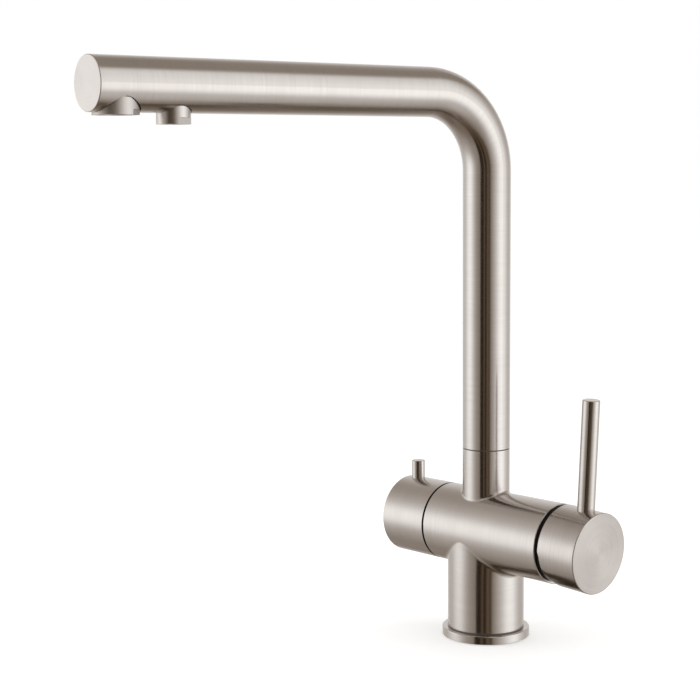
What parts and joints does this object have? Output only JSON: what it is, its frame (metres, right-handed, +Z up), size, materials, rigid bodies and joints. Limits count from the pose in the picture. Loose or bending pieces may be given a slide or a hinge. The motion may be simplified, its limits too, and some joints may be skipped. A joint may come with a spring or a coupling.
{
  "type": "kitchen faucet",
  "caption": "Deck-mounted kitchen faucet with a swivelling L-spout, a pin-lever mixer on one side, a filtered-water knob on the other, and separate outlets under the spout's end.",
  "frame": {"origin": "centre of the base ring's underside, on the column's axis", "axes": "+Z up along the column, +X along the barrel to the mixer knob, -Y the way the spout reaches"},
  "size_m": [0.1505, 0.2839, 0.335],
  "materials": {
    "brushed_steel": "fine brushed, satin",
    "turned_brass": "turned",
    "black_rubber": "matt",
    "black_nylon": "moulded, black",
    "white_acetal": "moulded, white",
    "ceramic": "lapped",
    "hose_plastic": "extruded",
    "screw_steel": "plain"
  },
  "bodies": {
    "faucet_body": {"base_ring": "brushed_steel", "base_gasket": "black_rubber", "ring_seal": "black_rubber", "inlet_column": "brushed_steel", "body_casting": "brushed_steel", "swivel_neck": "brushed_steel", "spout_spigot": "turned_brass", "spigot_orings": "black_rubber", "snap_ring": "black_nylon", "glide_ring": "black_nylon", "feed_tube": "turned_brass", "cartridge_body": "white_acetal", "cartridge_seals": "black_rubber", "fixed_disc": "ceramic", "cartridge_nut": "turned_brass", "bonnet_ring": "brushed_steel", "bonnet_seat": "black_nylon", "valve_body": "turned_brass", "valve_seal": "black_rubber", "valve_fixed_disc": "ceramic", "filter_glide_ring": "black_nylon"},
    "spout": {"spout_tube": "brushed_steel", "spout_end_cap": "brushed_steel", "spout_foot": "turned_brass", "aerator_seat": "turned_brass", "aerator_housing": "brushed_steel", "aerator_insert": "white_acetal", "aerator_washer": "black_rubber", "nozzle_elbow": "turned_brass", "nozzle_housing": "brushed_steel", "nozzle_insert": "white_acetal", "nozzle_washer": "black_rubber", "hose_socket": "turned_brass", "feed_oring": "black_rubber", "filter_hose": "hose_plastic", "hose_ferrules": "screw_steel"},
    "mixer_guide": {"cartridge_guide": "white_acetal", "pivot_pin": "screw_steel"},
    "mixer_handle": {"mixer_knob": "brushed_steel", "mixer_lever": "brushed_steel", "mixer_spindle": "turned_brass", "mixer_grub_screw": "screw_steel"},
    "mixing_disc": {"moving_disc": "ceramic", "disc_driver": "white_acetal"},
    "filter_handle": {"filter_knob": "brushed_steel", "filter_pin": "brushed_steel", "filter_grub_screw": "screw_steel", "valve_spindle": "turned_brass", "spindle_oring": "black_rubber", "valve_circlip": "screw_steel", "valve_moving_disc": "ceramic"}
  },
  "joints": [
    {"name": "spout_swivel", "type": "hinge", "parent": "faucet_body", "child": "spout", "pos_m": [0, 0, 0.113], "axis": [0, 0, 1], "continuous": true},
    {"name": "mixer_turn", "type": "hinge", "parent": "faucet_body", "child": "mixer_guide", "pos_m": [0.061, 0, 0.064], "axis": [1, 0, 0], "range_deg": [-50, 50]},
    {"name": "mixer_tilt", "type": "hinge", "parent": "mixer_guide", "child": "mixer_handle", "pos_m": [0.061, 0, 0.064], "axis": [0, 1, 0], "range_deg": [0, 15.5]},
    {"name": "disc_slide", "type": "slide", "parent": "mixer_guide", "child": "mixing_disc", "axis": [0, 0, 1], "range_m": [0, 0.0051]},
    {"name": "filter_turn", "type": "hinge", "parent": "faucet_body", "child": "filter_handle", "pos_m": [-0.045, 0, 0.064], "axis": [1, 0, 0], "range_deg": [0, 90]}
  ],
  "couplings": [
    {"joint": "disc_slide", "follows": "mixer_tilt", "m_per_rad": 0.018579}
  ]
}
